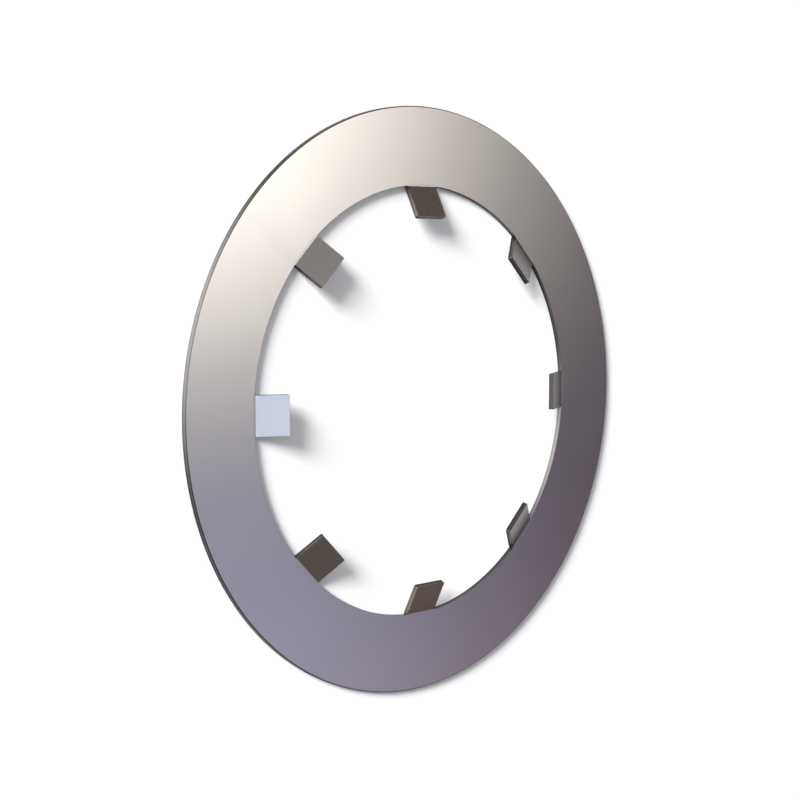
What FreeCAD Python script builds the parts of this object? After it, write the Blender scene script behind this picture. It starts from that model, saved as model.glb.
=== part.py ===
import FreeCAD, Part
import math
import os

# Tab lock washer: one ring stamped from thin sheet, with a ring of tabs bent up from its inner edge.
# Frame: the sheet lies on z = 0, the ring's axis is Z, and the first tab is on +X.
# Lengths are in millimetres and angles in degrees.

# Sheet
sheet = 0.8
outer_diameter = 90.0
bore_diameter = 66.2

# Tabs
tab_count = 8
tab_width = 5.9
bend_angle = 26.6
bend_inside_radius = 0.4
grip_diameter = 56.0

# Edges
edge_break = 0.12

# Worked out from the sizes above
bore_radius = bore_diameter / 2
bend = math.radians(bend_angle)
bend_outside_radius = bend_inside_radius + sheet
# The bend starts on the chord where the tab's two sides leave the bore.
bend_start = math.sqrt(bore_radius ** 2 - (tab_width / 2) ** 2)
# The straight leg ends where its lower tip edge meets the gripping circle.
leg = (bend_start - bend_outside_radius * math.sin(bend) - grip_diameter / 2) / math.cos(bend)
# The flat root of a tab reaches to the middle of the ring's band, where it joins the sheet.
root_end = (bore_radius + outer_diameter / 2) / 2


def ring():
    """The flat washer without its tabs, turned from its section, with its two upper rims broken."""
    outer_radius = outer_diameter / 2
    corners = [
        (bore_radius, 0),
        (outer_radius, 0),
        (outer_radius, sheet - edge_break),
        (outer_radius - edge_break, sheet),
        (bore_radius + edge_break, sheet),
        (bore_radius, sheet - edge_break),
    ]
    points = [FreeCAD.Vector(r, 0, z) for r, z in corners]
    section = Part.Face(Part.makePolygon(points + points[:1]))
    return section.revolve(FreeCAD.Vector(0, 0, 0), FreeCAD.Vector(0, 0, 1), 360)


def on_bend(radius, turn):
    """A point of the bend at this radius from its centre, after this much of the turn."""
    x = bend_start - radius * math.sin(turn)
    z = sheet + bend_inside_radius - radius * math.cos(turn)
    return FreeCAD.Vector(x, -tab_width / 2, z)


def tab():
    """One tab with its flat root, cut from the side view and as wide as the tab."""
    along = FreeCAD.Vector(-math.cos(bend), 0, math.sin(bend)) * leg
    lower_root = FreeCAD.Vector(root_end, -tab_width / 2, 0)
    upper_root = lower_root + FreeCAD.Vector(0, 0, sheet)
    lower_end = on_bend(bend_outside_radius, bend)
    upper_end = on_bend(bend_inside_radius, bend)
    outside = Part.Arc(
        on_bend(bend_outside_radius, 0),
        on_bend(bend_outside_radius, bend / 2),
        lower_end,
    )
    inside = Part.Arc(
        on_bend(bend_inside_radius, 0),
        on_bend(bend_inside_radius, bend / 2),
        upper_end,
    )
    side = Part.Wire(
        [
            Part.LineSegment(lower_root, on_bend(bend_outside_radius, 0)).toShape(),
            outside.toShape(),
            Part.LineSegment(lower_end, lower_end + along).toShape(),
            Part.LineSegment(lower_end + along, upper_end + along).toShape(),
            Part.LineSegment(upper_end + along, upper_end).toShape(),
            inside.toShape(),
            Part.LineSegment(on_bend(bend_inside_radius, 0), upper_root).toShape(),
            Part.LineSegment(upper_root, lower_root).toShape(),
        ]
    )
    return Part.Face(side).extrude(FreeCAD.Vector(0, tab_width, 0))


def tabs():
    """The tabs, spread evenly round the bore."""
    first = tab()
    copies = []
    for number in range(tab_count):
        copy = first.copy()
        copy.rotate(FreeCAD.Vector(0, 0, 0), FreeCAD.Vector(0, 0, 1), number * 360 / tab_count)
        copies.append(copy)
    return copies


washer = ring().multiFuse(tabs()).removeSplitter().Solids[0]
os.makedirs("parts", exist_ok=True)
washer.exportStep("parts/tab_washer.step")
print("volume", round(washer.Volume, 3), "mm3")
print("straight leg", round(leg, 3), "mm, height", round(washer.BoundBox.ZMax, 3), "mm")
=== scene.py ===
import math

import bpy
from mathutils import Matrix, Vector


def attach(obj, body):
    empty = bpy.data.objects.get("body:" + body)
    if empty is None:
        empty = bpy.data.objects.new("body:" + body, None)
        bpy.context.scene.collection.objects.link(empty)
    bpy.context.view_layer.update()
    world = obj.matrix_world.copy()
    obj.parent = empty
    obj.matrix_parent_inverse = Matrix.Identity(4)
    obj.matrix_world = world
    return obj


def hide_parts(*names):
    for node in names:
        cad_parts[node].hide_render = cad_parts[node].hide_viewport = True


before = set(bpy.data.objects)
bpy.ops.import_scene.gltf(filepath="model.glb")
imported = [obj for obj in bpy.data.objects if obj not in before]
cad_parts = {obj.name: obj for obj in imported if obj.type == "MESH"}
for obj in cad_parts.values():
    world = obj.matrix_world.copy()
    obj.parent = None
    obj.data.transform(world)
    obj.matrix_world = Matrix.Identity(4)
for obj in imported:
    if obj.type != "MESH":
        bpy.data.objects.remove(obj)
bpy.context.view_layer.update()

# Tab lock washer of thin rolled steel sheet, lying flat with its tabs bent up.
# The ring's axis is Z, and the first tab is on +X. Lengths are in metres and angles in radians, but the
# directions of lights are in degrees.

# Sizes of the washer, as in the part's source
MM = 0.001
SHEET = 0.8 * MM
OUTER_RADIUS = 45.0 * MM
BORE_RADIUS = 33.1 * MM
TABS = 8
TAB_WIDTH = 5.9 * MM
BEND = math.radians(26.6)
BEND_INSIDE_RADIUS = 0.4 * MM
GRIP_RADIUS = 28.0 * MM

# Rounded edges: the outer upper rim, all other sharp edges, and the corners of the tips
RIM_ROUND = 0.3 * MM
EDGE_ROUND = 0.045 * MM
TIP_CORNER_RADIUS = 0.15 * MM

# Fineness of the mesh: loops of edges lie close beside each bend, so that the flat faces stay evenly lit
RIM_STEPS = 352
BEND_STEPS = 8
ROUND_STEPS = 3
BESIDE_BEND = 0.08 * MM
LEG_LOOPS = (BESIDE_BEND, 2.4 * MM)
SHARP = math.radians(50)

# How near counts as on a line, as in one place, and as at the same turn round the axis
NEAR = 0.01 * MM
SAME_PLACE = 0.0005 * MM
NEAR_TURN = 0.001

# Between which values most of a noise lies
NOISE_RANGE = (0.35, 0.65)
WIDE_NOISE_RANGE = (0.3, 0.7)

# Rolled faces: the grain is turned from the Y axis, and scales are in waves per metre
GRAIN_TURN = math.radians(-18)
GRAIN_DEPTH = 0.00003 * MM
GRAIN_BUMP = 1.0
FINE_GRAIN = 5200
FINE_STRETCH = (1, 0.012, 1)
BROAD_GRAIN = 1100
BROAD_STRETCH = (1, 0.02, 1)
FINE_SHARE = 0.7
CLOUDS = 70
STEEL_DARK = (0.592, 0.573, 0.553, 1)
STEEL_LIGHT = (0.608, 0.589, 0.569, 1)
SATIN = (0.194, 0.206)
CLOUDING = 0.006

# The sheet is duller along each bend, to either side of its line and softly towards the tab's sides, and
# the bending punch leaves the tabs rougher
STRAIN_REACH = 0.45 * MM
STRAIN_FADE = 0.35 * MM
STRAIN_COLOUR = (0.47, 0.453, 0.437, 1)
STRAIN_SHARE = 0.4
STRAIN_DULLNESS = 0.08
TAB_DULLNESS = 0.08

# Cut edges: a burnished band with streaks, above a broken one with crumbs, which starts at a wandering
# share of the sheet's height
TEAR_HEIGHT = (0.42, 0.56)
TEAR_WAVES = 900
TEAR_WANDER = 0.12
STREAKS = 6500
STREAK_STRETCH = (1, 1, 0.1)
STREAK_RELIEF = 0.3
CRUMBS = 5200
CRUMB_DULLNESS = 0.06
# Both bands are painted far darker than bare steel: partly the cut's own dull finish, partly painted shade
# in place of the dark surroundings the edges mirror
BURNISHED_AND_SHADE = ((0.07, 0.064, 0.062, 1), (0.12, 0.111, 0.107, 1))
BROKEN_AND_SHADE = ((0.035, 0.032, 0.031, 1), (0.08, 0.073, 0.070, 1))
CUT_DULLNESS = (0.34, 0.6)
CUT_DEPTH = 0.04 * MM
CUT_BUMP = 0.5

# Painted highlight: where the cut runs along the grain it is painted bright, in place of the light the
# edge would mirror; from how nearly along, and how bright on the tabs
PAINTED_EDGE_HIGHLIGHT = (0.48, 0.46, 0.445, 1)
LEAST_ALONG_FOR_HIGHLIGHT = 0.84
TAB_EDGE_HIGHLIGHT_SHARE = 0.8

# Place of the cut edge's material among the washer's two
CUT_EDGE = 1

# Floor
FLOOR_SIDE = 5.0
FLOOR_GAP = 0.002 * MM
FLOOR_COLOUR = (0.97, 0.97, 0.97, 1)
FLOOR_DULLNESS = 0.9

# The room has a wall, which grows dim between two heights, with dark cards in front of it and soft boxes
# of light. Each card and each box has its azimuth and elevation and how tightly it fades, then a card's
# depth or a box's colour.
WALL_LIGHT = (0.375, 0.365, 0.345, 1)
OVERHEAD_SHARE = 0.16
WALL_TOP = (0.30, 0.72)
DARK_CARDS = (
    (-8.7, 30, 6.5, 1.0),
    (42, 16, 30, 0.95),
    (-42, 12, 30, 0.95),
    (12, 3, 30, 1.0),
    (-14, 0, 25, 1.0),
    (-108, 28, 12, 0.6),
)

# Soft boxes that the camera sees mirrored in the flat ring
RING_BOXES = (
    (9.1, 53.7, 108, (3.63, 3.48, 3.30, 1)),
    (-22.9, 50.1, 110, (0.36, 0.47, 0.74, 1)),
    (-38, 40, 40, (0.60, 0.36, 0.30, 1)),
    (-11, 38, 60, (0.04, 0.02, 0.06, 1)),
)

# Soft boxes that it sees mirrored in one tab each
TAB_BOXES = (
    (-160, 77, 34, (1.50, 1.70, 2.14, 1)),
    (42, 16, 30, (0.06, 0.02, 0.0, 1)),
    (-84, 53, 30, (0.07, 0.035, 0.02, 1)),
    (-42, 12, 45, (0.04, 0.01, 0.0, 1)),
    (73, 61, 50, (0.51, 0.48, 0.47, 1)),
)

# Soft boxes that keep the washer light when it is seen from other sides
SIDE_BOXES = (
    (0, 20, 90, (0.27, 0.26, 0.26, 1)),
    (147, 42, 20, (1.1, 1.08, 1.05, 1)),
    (105, 30, 25, (0.5, 0.49, 0.48, 1)),
    (195, 28, 25, (0.4, 0.4, 0.42, 1)),
    (-72, 12, 60, (0.42, 0.42, 0.42, 1)),
)

# The lamp that throws the shadow
KEY_AZIMUTH = 150
KEY_ELEVATION = 18
KEY_WIDTH = math.radians(22)
KEY_STRENGTH = 7.3

# Camera, with its lens and sensor in millimetres
CAMERA_LENS = 75.12
SENSOR_WIDTH = 36
NEAREST_SEEN = 0.01
FARTHEST_SEEN = 10
CAMERA_PLACE = Vector((-0.18007, 0.02387, 0.18312))
CAMERA_AIM = Vector((-0.00461, 0.00054, SHEET))
PICTURE_UP = Vector((-0.0025, 1, 0))

# Worked out from the sizes
SECTOR = 2 * math.pi / TABS
TAB_HALF_ANGLE = math.asin(TAB_WIDTH / 2 / BORE_RADIUS)
BEND_OUTSIDE_RADIUS = BEND_INSIDE_RADIUS + SHEET
BEND_START = math.sqrt(BORE_RADIUS ** 2 - (TAB_WIDTH / 2) ** 2)
BEND_CENTRE = Vector((BEND_START, 0, SHEET + BEND_INSIDE_RADIUS))
LEG = (BEND_START - BEND_OUTSIDE_RADIUS * math.sin(BEND) - GRIP_RADIUS) / math.cos(BEND)
LEG_DIRECTION = Vector((-math.cos(BEND), 0, math.sin(BEND)))
LEG_NORMAL = Vector((math.sin(BEND), 0, math.cos(BEND)))


def select_none():
    """Nothing stays selected, so that the next operator acts on the new piece alone."""
    bpy.ops.object.select_all(action="DESELECT")


def pick(piece, mode, wanted):
    """Goes into edit mode with the points or edges selected whose places pass the test."""
    bpy.ops.object.mode_set(mode="EDIT")
    bpy.ops.mesh.select_mode(type=mode)
    bpy.ops.mesh.select_all(action="DESELECT")
    bpy.ops.object.mode_set(mode="OBJECT")
    points = piece.data.vertices
    if mode == "VERT":
        for point in points:
            point.select = wanted(point.co)
    else:
        for edge in piece.data.edges:
            edge.select = all(wanted(points[i].co) for i in edge.vertices)
    bpy.ops.object.mode_set(mode="EDIT")


def turn_of(place):
    """How far round the axis a place is, from the middle of the first tab."""
    return math.atan2(place.y, place.x)


def on_tab_root(place):
    """Whether a place of the flat ring is on the bore between the first tab's sides."""
    return abs(turn_of(place)) < TAB_HALF_ANGLE + NEAR_TURN and place.xy.length < BORE_RADIUS + NEAR


def blank_sector():
    """One tab's share of the flat ring's upper face, with the tab's straight root in its middle."""
    select_none()
    bpy.ops.mesh.primitive_circle_add(
        vertices=RIM_STEPS,
        radius=BORE_RADIUS,
        fill_type="NOTHING",
        location=(0, 0, SHEET),
        rotation=(0, 0, math.pi / 2),
    )
    piece = bpy.context.object
    piece.name = "washer"
    bpy.ops.object.transform_apply(location=True, rotation=True, scale=True)
    pick(piece, "VERT", lambda p: abs(turn_of(p)) > SECTOR / 2 + NEAR_TURN)
    bpy.ops.mesh.delete(type="VERT")
    bpy.ops.mesh.select_all(action="SELECT")
    reached = BORE_RADIUS
    for radius in (BORE_RADIUS + BESIDE_BEND, OUTER_RADIUS):
        grow = radius / reached
        bpy.ops.mesh.extrude_edges_move()
        bpy.ops.transform.resize(value=(grow, grow, 1), center_override=(0, 0, SHEET))
        reached = radius
    pick(piece, "VERT", on_tab_root)
    bpy.ops.transform.resize(value=(0, 1, 1), center_override=tuple(BEND_CENTRE))
    return piece


def bend_tab(piece):
    """The tab grows from its root: first round the bend, then straight to its tip."""
    pick(piece, "EDGE", lambda p: abs(p.x - BEND_START) < NEAR and abs(p.y) < TAB_WIDTH / 2 + NEAR)
    bpy.ops.mesh.spin(steps=BEND_STEPS, angle=BEND, center=tuple(BEND_CENTRE), axis=(0, -1, 0))
    for start, end in zip((0, *LEG_LOOPS), (*LEG_LOOPS, LEG)):
        bpy.ops.mesh.extrude_edges_move(
            TRANSFORM_OT_translate={"value": tuple(LEG_DIRECTION * (end - start))}
        )
    tip_x = BEND_START - BEND_INSIDE_RADIUS * math.sin(BEND) - LEG * math.cos(BEND)
    pick(piece, "VERT", lambda p: p.x < tip_x + NEAR and abs(p.y) > TAB_WIDTH / 2 - NEAR)
    bpy.ops.mesh.bevel(offset=TIP_CORNER_RADIUS, segments=ROUND_STEPS, affect="VERTICES")


def repeat_round(piece):
    """The sector is repeated round the axis, and its seams are joined."""
    bpy.ops.mesh.select_all(action="SELECT")
    bpy.ops.mesh.spin(
        steps=TABS - 1,
        angle=SECTOR * (TABS - 1),
        center=(0, 0, 0),
        axis=(0, 0, 1),
        dupli=True,
    )
    bpy.ops.mesh.select_all(action="SELECT")
    bpy.ops.mesh.remove_doubles(threshold=SAME_PLACE)
    bpy.ops.mesh.normals_make_consistent(inside=False)
    bpy.ops.object.mode_set(mode="OBJECT")
    if piece.data.polygons[0].normal.z < 0:
        piece.data.flip_normals()


def keep_order(piece):
    """Builds the mesh again with its faces in one order, because an extrusion's order changes each run."""
    faces = []
    for face in piece.data.polygons:
        corners = list(face.vertices)
        first = corners.index(min(corners))
        faces.append(corners[first:] + corners[:first])
    points = [point.co.copy() for point in piece.data.vertices]
    piece.data.clear_geometry()
    piece.data.from_pydata(points, [], sorted(faces))


def apply_modifier(piece, kind, **settings):
    """Adds one modifier with these settings and applies it."""
    modifier = piece.modifiers.new(kind.lower(), kind)
    for name, value in settings.items():
        setattr(modifier, name, value)
    bpy.context.view_layer.objects.active = piece
    bpy.ops.object.modifier_apply(modifier=modifier.name)


def weigh_edges(piece):
    """Sharp edges are to be rounded: fully on the outer upper rim, and less on all the others."""
    bpy.ops.object.mode_set(mode="EDIT")
    bpy.ops.mesh.select_mode(type="EDGE")
    bpy.ops.mesh.select_all(action="DESELECT")
    bpy.ops.mesh.edges_select_sharp(sharpness=SHARP)
    bpy.ops.object.mode_set(mode="OBJECT")
    weights = piece.data.attributes.new("bevel_weight_edge", "FLOAT", "EDGE")
    points = piece.data.vertices
    for edge in piece.data.edges:
        ends = [points[i].co for i in edge.vertices]
        on_rim = all(p.xy.length > OUTER_RADIUS - NEAR and p.z > SHEET / 2 for p in ends)
        if edge.select:
            weights.data[edge.index].value = 1.0 if on_rim else EDGE_ROUND / RIM_ROUND


def give_thickness(piece):
    """The upper face becomes a sheet with its cut edges on all sides, and the edges are rounded."""
    apply_modifier(
        piece,
        "SOLIDIFY",
        thickness=SHEET,
        offset=-1,
        use_even_offset=True,
        use_quality_normals=True,
        material_offset_rim=CUT_EDGE,
    )
    pick(piece, "VERT", lambda p: p.z < NEAR)
    bpy.ops.transform.resize(value=(1, 1, 0), center_override=(0, 0, 0))
    weigh_edges(piece)
    bpy.ops.object.shade_smooth()
    apply_modifier(
        piece,
        "BEVEL",
        width=RIM_ROUND,
        segments=ROUND_STEPS,
        limit_method="WEIGHT",
        material=CUT_EDGE,
        harden_normals=True,
    )
    # The rounding leaves two points in one place where a tab's side meets the bore.
    bpy.ops.object.mode_set(mode="EDIT")
    bpy.ops.mesh.select_all(action="SELECT")
    bpy.ops.mesh.remove_doubles(threshold=SAME_PLACE)
    bpy.ops.object.mode_set(mode="OBJECT")


def sheet_height(place):
    """How high in the sheet a point lies, from 0 at the underside to 1 at the upper face."""
    turn = round(turn_of(place) / SECTOR) * SECTOR
    local = Matrix.Rotation(-turn, 3, "Z") @ place
    from_centre = Vector((local.x, 0, local.z)) - BEND_CENTRE
    turned = math.atan2(-from_centre.x, -from_centre.z)
    on_tab = abs(local.y) < TAB_WIDTH / 2 + NEAR
    if not on_tab or turned < 0:
        height = local.z
    elif turned < BEND:
        height = BEND_OUTSIDE_RADIUS - from_centre.length
    else:
        height = from_centre.dot(LEG_NORMAL) + BEND_OUTSIDE_RADIUS
    return height / SHEET


def mark_sheet(piece):
    """Keeps each point's height in the sheet, and each face's share of the painted edge highlight, from
    how nearly it was cut along the grain.
    """
    heights = piece.data.attributes.new("sheet_height", "FLOAT", "POINT")
    values = [sheet_height(point.co) for point in piece.data.vertices]
    heights.data.foreach_set("value", values)
    across = Vector((math.cos(GRAIN_TURN), math.sin(GRAIN_TURN)))
    highlight_shares = piece.data.attributes.new("painted_edge_highlight", "FLOAT", "FACE")
    for face in piece.data.polygons:
        # Painted highlight share: faces cut along the grain get a bright painted colour, less of it on the
        # tabs
        facing = abs(face.normal.xy.normalized().dot(across))
        share = max(0, facing - LEAST_ALONG_FOR_HIGHLIGHT) / (1 - LEAST_ALONG_FOR_HIGHLIGHT)
        on_tab = face.center.xy.length < BORE_RADIUS - EDGE_ROUND
        highlight_shares.data[face.index].value = share ** 2 * (TAB_EDGE_HIGHLIGHT_SHARE if on_tab else 1)


class Nodes:
    """Adds nodes to a material or world and links them in one line."""

    def __init__(self, owner):
        owner.use_nodes = True
        self.tree = owner.node_tree
        self.tree.nodes.clear()

    def add(self, kind, inputs=None, **settings):
        """One node with its settings, each input linked to a socket or given a value."""
        node = self.tree.nodes.new(kind)
        for name, value in settings.items():
            setattr(node, name, value)
        for name, value in (inputs or {}).items():
            if isinstance(value, bpy.types.NodeSocket):
                self.tree.links.new(value, node.inputs[name])
            else:
                node.inputs[name].default_value = value
        return node

    def math(self, operation, first, second=0.0):
        return self.add("ShaderNodeMath", {0: first, 1: second}, operation=operation).outputs[0]

    def noise(self, place, scale, detail, roughness=0.5):
        settings = {"Vector": place, "Scale": scale, "Detail": detail, "Roughness": roughness}
        return self.add("ShaderNodeTexNoise", settings).outputs["Fac"]

    def spread(self, value, low, high, from_low=0.0, from_high=1.0):
        """The value mapped to run from low to high, and held there at its ends."""
        settings = {"Value": value, 1: from_low, 2: from_high, 3: low, 4: high}
        return self.add("ShaderNodeMapRange", settings, clamp=True).outputs[0]

    def tint(self, factor, first, second):
        """A colour between the first and the second, at this share of the way."""
        settings = {"Factor": factor, 6: first, 7: second}
        return self.add("ShaderNodeMix", settings, data_type="RGBA").outputs[2]

    def stretched(self, place, scale):
        """Places scaled for a pattern, which runs long where the scale is small."""
        return self.add("ShaderNodeMapping", {"Vector": place, "Scale": scale}).outputs[0]


def from_axis(n, place):
    """How far a place is from the axis."""
    flat = n.add("ShaderNodeVectorMath", {0: place, 1: (1, 1, 0)}, operation="MULTIPLY").outputs[0]
    return n.add("ShaderNodeVectorMath", {0: flat}, operation="LENGTH").outputs["Value"]


def bend_strain(n, place, radius):
    """One on the bend lines at the tabs' roots, falling to nothing on either side."""
    parts = n.add("ShaderNodeSeparateXYZ", {"Vector": place}).outputs
    angle = n.math("ARCTAN2", parts["Y"], parts["X"])
    nearest_tab = n.math("SNAP", n.math("ADD", angle, SECTOR / 2), SECTOR)
    off_tab = n.math("SUBTRACT", angle, nearest_tab)
    inward = n.math("MULTIPLY", radius, n.math("COSINE", off_tab))
    across = n.math("MULTIPLY", radius, n.math("SINE", off_tab))
    off_line = n.math("ABSOLUTE", n.math("SUBTRACT", inward, BEND_START))
    side = TAB_WIDTH / 2
    within = n.spread(n.math("ABSOLUTE", across), 1, 0, side - STRAIN_FADE, side)
    return n.math("MULTIPLY", n.spread(off_line, 1, 0, 0, STRAIN_REACH), within)


def along_grain(n, place):
    """Places turned so that their Y runs along the rolling grain."""
    turn = {"Vector": place, "Rotation": (0, 0, -GRAIN_TURN)}
    return n.add("ShaderNodeMapping", turn).outputs[0]


def rolled_steel():
    """Bare rolled sheet: satin, with a fine grain and faint clouding, and a duller line at each bend."""
    material = bpy.data.materials.new("rolled_steel")
    n = Nodes(material)
    place = n.add("ShaderNodeTexCoord").outputs["Object"]
    rolled = along_grain(n, place)
    fine_grain = n.noise(n.stretched(rolled, FINE_STRETCH), FINE_GRAIN, detail=3, roughness=0.6)
    broad_grain = n.noise(n.stretched(rolled, BROAD_STRETCH), BROAD_GRAIN, detail=2, roughness=0.55)
    cloud = n.noise(place, CLOUDS, detail=3)
    radius = from_axis(n, place)
    strain = bend_strain(n, place, radius)
    on_tab = n.spread(radius, 1, 0, BEND_START - STRAIN_REACH, BEND_START)
    fine_part = n.math("MULTIPLY", fine_grain, FINE_SHARE)
    grain = n.math("ADD", fine_part, n.math("MULTIPLY", broad_grain, 1 - FINE_SHARE))
    colour = n.tint(grain, STEEL_DARK, STEEL_LIGHT)
    colour = n.tint(n.spread(strain, 0, STRAIN_SHARE), colour, STRAIN_COLOUR)
    rough = n.spread(grain, *SATIN, *NOISE_RANGE)
    rough = n.math("ADD", rough, n.spread(cloud, -CLOUDING, CLOUDING, *NOISE_RANGE))
    rough = n.math("ADD", rough, n.math("MULTIPLY", strain, STRAIN_DULLNESS))
    rough = n.math("ADD", rough, n.math("MULTIPLY", on_tab, TAB_DULLNESS))
    bump = n.add(
        "ShaderNodeBump",
        {"Height": grain, "Strength": GRAIN_BUMP, "Distance": GRAIN_DEPTH},
    ).outputs[0]
    surface = n.add(
        "ShaderNodeBsdfPrincipled",
        {"Base Color": colour, "Metallic": 1.0, "Roughness": rough, "Normal": bump},
    ).outputs[0]
    n.add("ShaderNodeOutputMaterial", {"Surface": surface})
    return material


def sheared_edge():
    """The cut edge: a smooth burnished band above a torn, duller one, both painted dark with painted
    shade, and a painted highlight where it runs along the grain.
    """
    material = bpy.data.materials.new("sheared_edge")
    n = Nodes(material)
    place = n.add("ShaderNodeTexCoord").outputs["Object"]
    height = n.add("ShaderNodeAttribute", attribute_name="sheet_height").outputs["Fac"]
    wander = n.noise(place, TEAR_WAVES, detail=3)
    wander = n.spread(wander, -TEAR_WANDER, TEAR_WANDER, *WIDE_NOISE_RANGE)
    torn = n.spread(n.math("ADD", height, wander), 1, 0, *TEAR_HEIGHT)
    streaks = n.noise(n.stretched(place, STREAK_STRETCH), STREAKS, detail=3, roughness=0.6)
    crumbs = n.noise(place, CRUMBS, detail=4, roughness=0.65)
    # Painted highlight: faces cut along the grain are painted a bright colour in place of a mirrored light
    painted_highlight = n.add("ShaderNodeAttribute", attribute_name="painted_edge_highlight").outputs["Fac"]
    # The band colours hold painted shade as well as the cut's dull finish
    colour = n.tint(torn, n.tint(streaks, *BURNISHED_AND_SHADE), n.tint(crumbs, *BROKEN_AND_SHADE))
    colour = n.tint(painted_highlight, colour, PAINTED_EDGE_HIGHLIGHT)
    rough = n.spread(torn, *CUT_DULLNESS)
    rough = n.math("ADD", rough, n.spread(crumbs, -CRUMB_DULLNESS, CRUMB_DULLNESS))
    streak_relief = n.math("MULTIPLY", streaks, STREAK_RELIEF)
    relief = n.math("ADD", n.math("MULTIPLY", crumbs, torn), streak_relief)
    bump = n.add(
        "ShaderNodeBump",
        {"Height": relief, "Strength": CUT_BUMP, "Distance": CUT_DEPTH},
    ).outputs[0]
    surface = n.add(
        "ShaderNodeBsdfPrincipled",
        {"Base Color": colour, "Metallic": 1.0, "Roughness": rough, "Normal": bump},
    ).outputs[0]
    n.add("ShaderNodeOutputMaterial", {"Surface": surface})
    return material


def washer():
    """The whole washer, which stands for the plain solid."""
    piece = blank_sector()
    piece.data.materials.append(rolled_steel())
    piece.data.materials.append(sheared_edge())
    bend_tab(piece)
    repeat_round(piece)
    keep_order(piece)
    give_thickness(piece)
    mark_sheet(piece)
    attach(piece, "root")
    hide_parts("tab_washer")


def floor():
    """A plain white floor, wide enough to fill every view from above."""
    select_none()
    bpy.ops.mesh.primitive_plane_add(size=FLOOR_SIDE, location=(0, 0, -FLOOR_GAP))
    piece = bpy.context.object
    piece.name = "floor"
    material = bpy.data.materials.new("white_floor")
    n = Nodes(material)
    surface = n.add(
        "ShaderNodeBsdfPrincipled",
        {"Base Color": FLOOR_COLOUR, "Roughness": FLOOR_DULLNESS, "Specular IOR Level": 0.0},
    ).outputs[0]
    n.add("ShaderNodeOutputMaterial", {"Surface": surface})
    piece.data.materials.append(material)


def direction(azimuth, elevation):
    """A unit vector from its angle round Z, counted from +X, and its angle above the floor, in degrees."""
    a, e = math.radians(azimuth), math.radians(elevation)
    return Vector((math.cos(a) * math.cos(e), math.sin(a) * math.cos(e), math.sin(e)))


def room():
    """The studio round the washer: its wall, dark cards in front of it, and soft boxes of light."""
    world = bpy.data.worlds.new("studio")
    bpy.context.scene.world = world
    n = Nodes(world)
    place = n.add("ShaderNodeTexCoord").outputs["Generated"]

    def fade(azimuth, elevation, tightness):
        """One in this direction, falling softly to nothing round it."""
        towards = n.add(
            "ShaderNodeVectorMath",
            {0: place, 1: direction(azimuth, elevation)},
            operation="DOT_PRODUCT",
        ).outputs["Value"]
        return n.math("EXPONENT", n.math("MULTIPLY", n.math("SUBTRACT", towards, 1.0), tightness))

    height = n.add("ShaderNodeSeparateXYZ", {"Vector": place}).outputs["Z"]
    open_part = n.spread(height, 1, OVERHEAD_SHARE, *WALL_TOP)
    for azimuth, elevation, tightness, depth in DARK_CARDS:
        hidden = n.math("MULTIPLY", fade(azimuth, elevation, tightness), depth)
        open_part = n.math("MULTIPLY", open_part, n.math("SUBTRACT", 1.0, hidden))
    light = n.tint(open_part, (0, 0, 0, 1), WALL_LIGHT)
    for azimuth, elevation, tightness, colour in RING_BOXES + TAB_BOXES + SIDE_BOXES:
        light = n.add(
            "ShaderNodeMix",
            {"Factor": fade(azimuth, elevation, tightness), 6: light, 7: colour},
            data_type="RGBA",
            blend_type="ADD",
            clamp_factor=False,
        ).outputs[2]
    background = n.add("ShaderNodeBackground", {"Color": light, "Strength": 1.0}).outputs[0]
    n.add("ShaderNodeOutputWorld", {"Surface": background})


def key_lamp():
    """A low, broad lamp from the upper left of the picture, which throws the washer's soft shadow."""
    lamp = bpy.data.lights.new("key", "SUN")
    lamp.energy = KEY_STRENGTH
    lamp.angle = KEY_WIDTH
    piece = bpy.data.objects.new("key", lamp)
    piece.visible_glossy = False
    bpy.context.scene.collection.objects.link(piece)
    towards_lamp = direction(KEY_AZIMUTH, KEY_ELEVATION)
    piece.rotation_euler = towards_lamp.to_track_quat("Z", "Y").to_euler()


def camera():
    """Looks down on the washer as the picture does, with the picture's upright along +Y."""
    lens = bpy.data.cameras.new("camera")
    lens.sensor_width = SENSOR_WIDTH
    lens.lens = CAMERA_LENS
    lens.clip_start = NEAREST_SEEN
    lens.clip_end = FARTHEST_SEEN
    piece = bpy.data.objects.new("camera", lens)
    bpy.context.scene.collection.objects.link(piece)
    ahead = (CAMERA_AIM - CAMERA_PLACE).normalized()
    right = ahead.cross(PICTURE_UP).normalized()
    up = right.cross(ahead)
    turned = Matrix((right, up, -ahead)).transposed().to_4x4()
    piece.matrix_world = Matrix.Translation(CAMERA_PLACE) @ turned
    bpy.context.scene.camera = piece


bpy.context.scene.view_settings.view_transform = "Standard"
washer()
floor()
room()
key_lamp()
camera()
